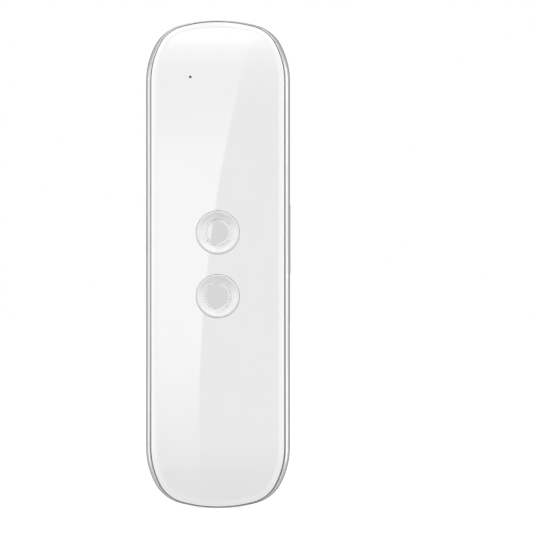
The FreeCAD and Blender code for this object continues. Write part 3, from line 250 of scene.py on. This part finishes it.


# Painted shade: dark mouths round each of the grille's holes on the satin shell
def addGrilleMouthShade(material):
    tree, links = nodesOf(material)
    place = tree.new("ShaderNodeTexCoord").outputs["Object"]
    flat = vectorStep(tree, links, place, "MULTIPLY", (1, 0, 1))
    centred = vectorStep(tree, links, flat.outputs[0], "SUBTRACT", (0, 0, grille["height"]))
    high = (grille["column"], 1, grille["row"] / 2)
    low = tuple(-side for side in high)
    nearest = addNode(tree, "ShaderNodeMath", operation="MINIMUM")
    for count, shift in enumerate(((0, 0, 0), (grille["column"], 0, grille["row"] / 2))):
        shifted = vectorStep(tree, links, centred.outputs[0], "SUBTRACT", shift)
        wrapped = vectorStep(tree, links, shifted.outputs[0], "WRAP", high, low)
        away = vectorStep(tree, links, wrapped.outputs[0], "LENGTH")
        links.new(away.outputs["Value"], nearest.inputs[count])
    size = vectorStep(tree, links, centred.outputs[0], "ABSOLUTE")
    reach = (grille["reach"][0], 1, grille["reach"][1])
    share = vectorStep(tree, links, size.outputs[0], "DIVIDE", reach)
    axes = tree.new("ShaderNodeSeparateXYZ")
    links.new(share.outputs[0], axes.inputs[0])
    furthest = addNode(tree, "ShaderNodeMath", operation="MAXIMUM")
    links.new(axes.outputs["X"], furthest.inputs[0])
    links.new(axes.outputs["Z"], furthest.inputs[1])
    beyond = addNode(tree, "ShaderNodeMath", operation="GREATER_THAN")
    beyond.inputs[1].default_value = 1
    links.new(furthest.outputs[0], beyond.inputs[0])
    bounded = addNode(tree, "ShaderNodeMath", operation="ADD")
    links.new(nearest.outputs[0], bounded.inputs[0])
    links.new(beyond.outputs[0], bounded.inputs[1])
    paintShadeWithin(tree, links, bounded.outputs[0], grille["mouthShadeRadius"], grille["blur"],
              grille["inkAndShade"])


# painted shade round the microphone's pinhole on the cover and round the grille's holes on the back
addPinholeShadeRing(materials["cover_white"])
addGrilleMouthShade(materials["satin_silver"])
for name, node in nodes.items():
    slots = node.data.materials
    made = slots[0].name.split(".")[0] if slots and slots[0] else "white_plastic"
    slots[0] = materials[made]
print("materials made:", len(materials))


# New pieces: each is made in place, rides on its body and takes a slot's finish
def addPiece(name, mesh, body, slot, replaced=(), sharp=30):    # sharp: in degrees
    bmesh.ops.recalc_face_normals(mesh, faces=mesh.faces)
    data = bpy.data.meshes.new(name)
    mesh.to_mesh(data)
    mesh.free()
    data.shade_smooth()
    data.set_sharp_from_angle(angle=math.radians(sharp))
    data.materials.append(materials[slot])
    piece = bpy.data.objects.new(name, data)
    bpy.context.scene.collection.objects.link(piece)
    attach(piece, body)
    if replaced:
        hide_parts(*replaced)


def spinOutline(mesh, points, centre, steps, closed=False):
    corners = [mesh.verts.new(point) for point in points]
    for first, second in zip(corners, corners[1:] + (corners[:1] if closed else [])):
        mesh.edges.new((first, second))
    bmesh.ops.spin(mesh, geom=mesh.verts[:] + mesh.edges[:], cent=centre, axis=(0, 1, 0),
                   angle=math.tau, steps=steps, use_merge=True)


def roundEdges(mesh, edges, size, steps):
    return bmesh.ops.bevel(mesh, geom=edges, offset=size, offset_type="OFFSET", segments=steps,
                           profile=0.5, affect="EDGES", material=-1)


# Round button: a dished cap turned from its outline, with its flange and stem behind
button = {
    "capRadius": 6.3 * mm,
    "skirtRadius": 6.34 * mm,       # the cap widens a little towards the flange, as moulded caps do
    "landRadius": 5.75 * mm,
    "dishFloor": 3.2 * mm,          # flat middle
    "dishDepth": 0.2 * mm,
    "dishSteps": 10,
    "edgeRound": 0.1 * mm,
    "flangeRadius": 7.0 * mm,
    "flangeFront": 1.98 * mm,       # behind the cap's edge
    "flangeBack": 2.48 * mm,
    "hollowRadius": 5.0 * mm,
    "hollowFront": 1.3 * mm,
    "stemRadius": 1.6 * mm,
    "edgeSteps": 4,
    "flatRing": 0.98,               # a ring this far out keeps the middle's reflection flat
    "steps": 144,
}
tiny = 0.001 * mm                   # points closer than this are one


def makeButton(name, node, body):
    low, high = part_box(node)
    middle = (low + high) / 2
    stemBack = high.y - low.y
    mesh = bmesh.new()
    outline = [
        (0, stemBack),
        (button["stemRadius"], stemBack),
        (button["stemRadius"], button["hollowFront"]),
        (button["hollowRadius"], button["hollowFront"]),
        (button["hollowRadius"], button["flangeBack"]),
        (button["flangeRadius"], button["flangeBack"]),
        (button["flangeRadius"], button["flangeFront"]),
        (button["skirtRadius"], button["flangeFront"]),
        (button["capRadius"], 0),
        (button["landRadius"], 0),
    ]
    slope = button["landRadius"] - button["dishFloor"]
    for step in range(1, button["dishSteps"] + 1):
        left = 1 - step / button["dishSteps"]
        outline.append((
            button["dishFloor"] + slope * left,
            button["dishDepth"] * (1 - left * left),
        ))
    outline += [
        (button["dishFloor"] * button["flatRing"], button["dishDepth"]),
        (0, button["dishDepth"]),
    ]
    points = [(across, low.y + back, middle.z) for across, back in outline]
    spinOutline(mesh, points, middle, button["steps"])
    bmesh.ops.remove_doubles(mesh, verts=mesh.verts, dist=tiny)
    rim = [edge for edge in mesh.edges if all(
        abs(vert.co.y - low.y) < tiny
        and abs(math.hypot(vert.co.x - middle.x, vert.co.z - middle.z) - button["capRadius"]) < tiny
        for vert in edge.verts)]
    roundEdges(mesh, rim, button["edgeRound"], button["edgeSteps"])
    addPiece(name, mesh, body, "button_white", (node,))


# Printed marks on the dish: short plain dashes in two arcs, which name nothing
marks = {
    "arcRadius": 3.87 * mm,
    "reach": 50,                    # degrees to each side of an arc's middle
    "count": 9,
    "lengths": (0.34 * mm, 0.2 * mm, 0.44 * mm),
    "thickness": 0.17 * mm,
    "inkAndShade": 0.006 * mm,
    "rounding": 0.3,                # of the thickness
    "roundSteps": 2,
}


def makeMarks(name, node, body, quarter):
    low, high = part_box(node)
    middle = (low + high) / 2
    dishWidth = button["landRadius"] - button["dishFloor"]
    slope = (marks["arcRadius"] - button["dishFloor"]) / dishWidth
    surface = low.y + button["dishDepth"] * (1 - slope * slope)
    place = (middle.x, surface, middle.z + marks["arcRadius"])
    mesh = bmesh.new()
    for side in (0, 180):
        for count in range(marks["count"]):
            turned = side + quarter + marks["reach"] * (2 * count / (marks["count"] - 1) - 1)
            dash = bmesh.ops.create_cube(mesh, size=1)["verts"]
            length = marks["lengths"][count % len(marks["lengths"])]
            bmesh.ops.scale(mesh, verts=dash, vec=(length, marks["inkAndShade"], marks["thickness"]))
            ends = [edge for edge in mesh.edges if edge.verts[0] in dash and edge.verts[1] in dash
                    and abs(edge.verts[0].co.y - edge.verts[1].co.y) > marks["inkAndShade"] / 2]
            rounded = roundEdges(mesh, ends, marks["thickness"] * marks["rounding"],
                                 marks["roundSteps"])
            dash = list({vert for face in rounded["faces"] for vert in face.verts})
            bmesh.ops.translate(mesh, verts=dash, vec=place)
            turn = Matrix.Rotation(math.radians(turned), 3, "Y")
            bmesh.ops.rotate(mesh, verts=dash, cent=middle, matrix=turn)
    addPiece(name, mesh, body, "switch_plastic")


# Painted shade: a dark liner in the microphone's pinhole, a little behind the cover's face,
# standing in for the shade inside the hole
shadeLiner = {
    "radius": 0.297 * mm,
    "bore": 0.24 * mm,
    "front": 0.02 * mm,             # behind the cover's face
    "length": 1.5 * mm,
    "steps": 32,
}


# Painted shade: builds the dark liner that fills the pinhole
def makeShadeLiner():
    front = coverFront + shadeLiner["front"]
    mesh = bmesh.new()
    centre = Vector((pinhole["place"][0], front, pinhole["place"][1]))
    outline = (
        (shadeLiner["bore"], shadeLiner["length"]),
        (shadeLiner["bore"], 0),
        (shadeLiner["radius"], 0),
        (shadeLiner["radius"], shadeLiner["length"]),
    )
    points = [centre + Vector((across, back, 0)) for across, back in outline]
    spinOutline(mesh, points, centre, shadeLiner["steps"], closed=True)
    addPiece("microphone_shade_liner", mesh, "case", "black_foam")


# Contacts: five thin strips on the near face of the charging port's tongue
contacts = {
    "count": 5,
    "pitch": 0.65 * mm,
    "width": 0.38 * mm,
    "length": 2.4 * mm,
    "thickness": 0.04 * mm,
    "face": 0.75 * mm,              # the tongue's near face
    "mouthEnd": 0.25 * mm,          # from the tongue's end to the strips
    "round": 0.08 * mm,
    "roundSteps": 3,
}


def makeContacts():
    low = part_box("charging_port_tongue")[0]
    size = (contacts["width"], contacts["thickness"], contacts["length"])
    mesh = bmesh.new()
    for count in range(contacts["count"]):
        strip = bmesh.ops.create_cube(mesh, size=1)["verts"]
        bmesh.ops.scale(mesh, verts=strip, vec=size)
        bmesh.ops.translate(mesh, verts=strip, vec=(
            (count - (contacts["count"] - 1) / 2) * contacts["pitch"],
            contacts["face"] - contacts["thickness"] / 2,
            low.z + contacts["mouthEnd"] + contacts["length"] / 2,
        ))
    upright = [edge for edge in mesh.edges
               if abs(edge.verts[0].co.y - edge.verts[1].co.y) > contacts["thickness"] / 2]
    roundEdges(mesh, upright, contacts["round"], contacts["roundSteps"])
    addPiece("charging_port_contacts", mesh, "case", "tinned_steel")


for half, quarter in (("upper", 0), ("lower", 90)):
    makeButton(f"{half}_button_cap", f"{half}_button", f"{half}_button")
    makeMarks(f"{half}_button_marks", f"{half}_button", f"{half}_button", quarter)
makeShadeLiner()
makeContacts()
print("buttons, sleeve and contacts made")


# Light: even on what is matt, while what mirrors sees a room with bright screens in it
studio = {
    "seen": 1.0,            # what the lens sees behind the unit
    "spread": 0.92,         # what lights the unit evenly from all sides
}
# each screen's brightness by degrees right of straight ahead, then by degrees above level:
# the two are multiplied, and the screens are added up
screens = {
    "room": (
        {-180: 0.45, -165: 0.45, -140: 0.4, -120: 0.4, -105: 0.75, -66: 0.75, -34: 0.8, -28: 0.1,
         28: 0.1, 34: 0.8, 66: 0.75, 105: 0.75, 120: 0.5, 150: 0.3, 168: 0.2, 180: 0.45},
        {-90: 1.1, -60: 1.1, -30: 1.0, 0: 1.0, 30: 0.95, 45: 1.1, 60: 1.5, 90: 1.6},
    ),
    "banks": (
        {-34: 0.0, -28: 1.8, -20: 1.6, -14: 1.3, -8: 1.05, -3: 0.8, 0: 0.7, 1: 1.1, 28: 1.3,
         34: 0.0},
        {-40: 0.0, -25: 0.02, -12: 0.2, -6: 0.5, -2: 0.9, 0: 1.0, 20: 1.0, 30: 0.6, 42: 0.0},
    ),
    "sides": (
        {-66: 0.0, -58: 0.7, -34: 0.8, -28: 0.0, 28: 0.0, 34: 1.0, 64: 0.9, 74: 0.0},
        {-28: 0.1, -16: 0.3, -8: 1.0, 8: 1.0, 14: 0.3, 24: 0.0},
    ),
    "top": (
        {-50: 0.0, -28: 0.3, -20: 1.0, 20: 1.0, 28: 0.3, 50: 0.0},
        {5: 0.0, 10: 0.4, 16: 0.9, 30: 1.1, 60: 0.9, 75: 0.7, 90: 0.6},
    ),
    "under": (
        {-50: 0.0, -28: 0.3, -20: 1.0, 20: 1.0, 28: 0.3, 50: 0.0},
        {-90: 0.6, -60: 0.6, -40: 0.5, -28: 0.0},
    ),
    "behind": (
        {-180: 0.08, -174: 0.25, -168: 0.85, -162: 1.65, -157: 1.5, -151: 0.7, -145: 0.3,
         -136: 0.1, -128: 0.0, 172: 0.0, 180: 0.1},
        {-60: 0.1, -45: 0.2, -30: 0.35, -20: 0.5, -10: 0.75, 0: 1.0, 8: 1.0, 20: 0.7, 35: 0.5,
         60: 0.3},
    ),
}


def makeWorld():
    world = bpy.data.worlds.new("studio")
    bpy.context.scene.world = world
    tree, links = nodesOf(world)
    place = tree.new("ShaderNodeTexCoord")
    axes = tree.new("ShaderNodeSeparateXYZ")
    links.new(place.outputs["Generated"], axes.inputs[0])
    ahead = addNode(tree, "ShaderNodeMath", operation="MULTIPLY")
    ahead.inputs[1].default_value = -1
    links.new(axes.outputs["Y"], ahead.inputs[0])
    turn = addNode(tree, "ShaderNodeMath", operation="ARCTAN2")
    links.new(axes.outputs["X"], turn.inputs[0])
    links.new(ahead.outputs[0], turn.inputs[1])
    lift = addNode(tree, "ShaderNodeMath", operation="ARCSINE")
    links.new(axes.outputs["Z"], lift.inputs[0])
    degree = math.radians(1)
    total = None
    for around, above in screens.values():
        more = addNode(tree, "ShaderNodeMath", operation="MULTIPLY_ADD")
        links.new(levelRamp(tree, links, turn.outputs[0], around, degree), more.inputs[0])
        links.new(levelRamp(tree, links, lift.outputs[0], above, degree), more.inputs[1])
        more.inputs[2].default_value = 0
        if total:
            links.new(total, more.inputs[2])
        total = more.outputs[0]
    room = tree["Background"]
    links.new(total, room.inputs["Strength"])
    spread = addNode(tree, "ShaderNodeBackground", {"Strength": studio["spread"]})
    seen = addNode(tree, "ShaderNodeBackground", {"Strength": studio["seen"]})
    for light in (room, spread, seen):
        light.inputs["Color"].default_value = (1, 1, 1, 1)
    ray = tree.new("ShaderNodeLightPath")
    last = spread
    for light, kind in ((room, "Is Glossy Ray"), (seen, "Is Camera Ray")):
        choose = tree.new("ShaderNodeMixShader")
        links.new(ray.outputs[kind], choose.inputs["Fac"])
        links.new(last.outputs[0], choose.inputs[1])
        links.new(light.outputs[0], choose.inputs[2])
        last = choose
    links.new(last.outputs[0], tree["World Output"].inputs["Surface"])


# Reflection card: stands behind the lens, and the cover mirrors its curved edge
card = {
    "distance": 1500 * mm,      # from the cover
    "halfWidth": 42 * mm,
    "halfHeight": 162 * mm,
    "edgeRadius": 410 * mm,     # the edge of the bright side, as it lies on the cover
    "edgeVertex": (-5.4, -45),  # the edge's leftmost point on the cover, mm from its middle
    "soft": 0.3 * mm,
}
# brightness at heights on the cover, in mm above its middle, on the two sides of the edge
brightSide = {-71: 0.05, -62: 0.1, -57: 0.45, -48: 0.73, -39: 1.0, -28: 1.23, -19: 1.33, 24: 1.33,
              30: 1.28, 42: 1.0, 51: 0.87, 57: 0.9, 61: 1.22, 63: 1.45, 65: 1.9, 67: 2.3, 71: 2.3}
dimSide = {-71: 0.0, -62: 0.0, -57: 0.25, -50: 0.46, 48: 0.46, 55: 0.6, 61: 0.95, 64: 1.5, 67: 2.3,
           71: 2.3}


def makeCard():
    mesh = bmesh.new()
    bmesh.ops.create_grid(mesh, x_segments=1, y_segments=1, size=1)
    bmesh.ops.scale(mesh, verts=mesh.verts, vec=(card["halfWidth"], card["halfHeight"], 1))
    data = bpy.data.meshes.new("reflectionCard")
    mesh.to_mesh(data)
    mesh.free()
    spread = 1 + card["distance"] / view["distance"]    # the card's size over its mirror image's
    middle = Vector((-camera.location.x, 0, -camera.location.z)) * (spread - 1)
    holder = bpy.data.objects.new("reflectionCard", data)
    bpy.context.scene.collection.objects.link(holder)
    holder.rotation_euler = (math.radians(90), 0, 0)
    holder.location = (middle.x, coverFront - card["distance"], middle.z)
    holder.visible_camera = False
    holder.visible_diffuse = False
    holder.visible_shadow = False

    material = bpy.data.materials.new("reflectionCard")
    tree, links = nodesOf(material)
    tree.remove(tree["Principled BSDF"])
    place = tree.new("ShaderNodeTexCoord")
    onCover = addNode(tree, "ShaderNodeVectorMath", operation="SCALE")
    onCover.inputs["Scale"].default_value = 1 / spread
    links.new(place.outputs["Object"], onCover.inputs[0])
    centre = (card["edgeVertex"][0] * mm + card["edgeRadius"], card["edgeVertex"][1] * mm, 0)
    away = addNode(tree, "ShaderNodeVectorMath", operation="DISTANCE")
    away.inputs[1].default_value = centre
    links.new(onCover.outputs[0], away.inputs[0])
    edge = addNode(tree, "ShaderNodeMapRange", {
        "From Min": card["edgeRadius"] - card["soft"] / 2,
        "From Max": card["edgeRadius"] + card["soft"] / 2,
    }, interpolation_type="SMOOTHSTEP")
    links.new(away.outputs["Value"], edge.inputs["Value"])
    axes = tree.new("ShaderNodeSeparateXYZ")
    links.new(onCover.outputs[0], axes.inputs[0])
    sides = [levelRamp(tree, links, axes.outputs["Y"], levels, mm)
             for levels in (dimSide, brightSide)]
    brightness = addNode(tree, "ShaderNodeMix", data_type="FLOAT")
    links.new(edge.outputs["Result"], brightness.inputs["Factor"])
    links.new(sides[0], brightness.inputs["A"])
    links.new(sides[1], brightness.inputs["B"])
    glow = tree.new("ShaderNodeEmission")
    links.new(brightness.outputs["Result"], glow.inputs["Strength"])
    links.new(glow.outputs[0], tree["Material Output"].inputs["Surface"])
    data.materials.append(material)


# Floor: plain and pale, with some light of its own so that it stays as bright as what is behind
floor = {
    "radius": 4.0,          # metres
    "edges": 96,
    "albedo": 0.45,
    "glow": 0.72,
    "roughness": 0.8,
    "shine": 0.1,
}


def makeFloor():
    mesh = bmesh.new()
    bmesh.ops.create_circle(mesh, cap_ends=True, segments=floor["edges"], radius=floor["radius"])
    bmesh.ops.translate(mesh, verts=mesh.verts, vec=(0, 0, cadBounds[0].z))
    data = bpy.data.meshes.new("floor")
    mesh.to_mesh(data)
    mesh.free()
    holder = bpy.data.objects.new("floor", data)
    bpy.context.scene.collection.objects.link(holder)
    material = bpy.data.materials.new("floor")
    tree, links = nodesOf(material)
    shader = tree["Principled BSDF"]
    choose = tree.new("ShaderNodeMixShader")    # from below the floor isn't seen
    links.new(tree.new("ShaderNodeNewGeometry").outputs["Backfacing"], choose.inputs["Fac"])
    links.new(shader.outputs[0], choose.inputs[1])
    links.new(tree.new("ShaderNodeBsdfTransparent").outputs[0], choose.inputs[2])
    links.new(choose.outputs[0], tree["Material Output"].inputs["Surface"])
    shader.inputs["Base Color"].default_value = (*[floor["albedo"]] * 3, 1)
    shader.inputs["Roughness"].default_value = floor["roughness"]
    shader.inputs["Specular IOR Level"].default_value = floor["shine"]
    shader.inputs["Emission Color"].default_value = (1, 1, 1, 1)
    shader.inputs["Emission Strength"].default_value = floor["glow"]
    data.materials.append(material)
    holder.visible_glossy = False


makeWorld()
makeCard()
makeFloor()
print("studio lit")
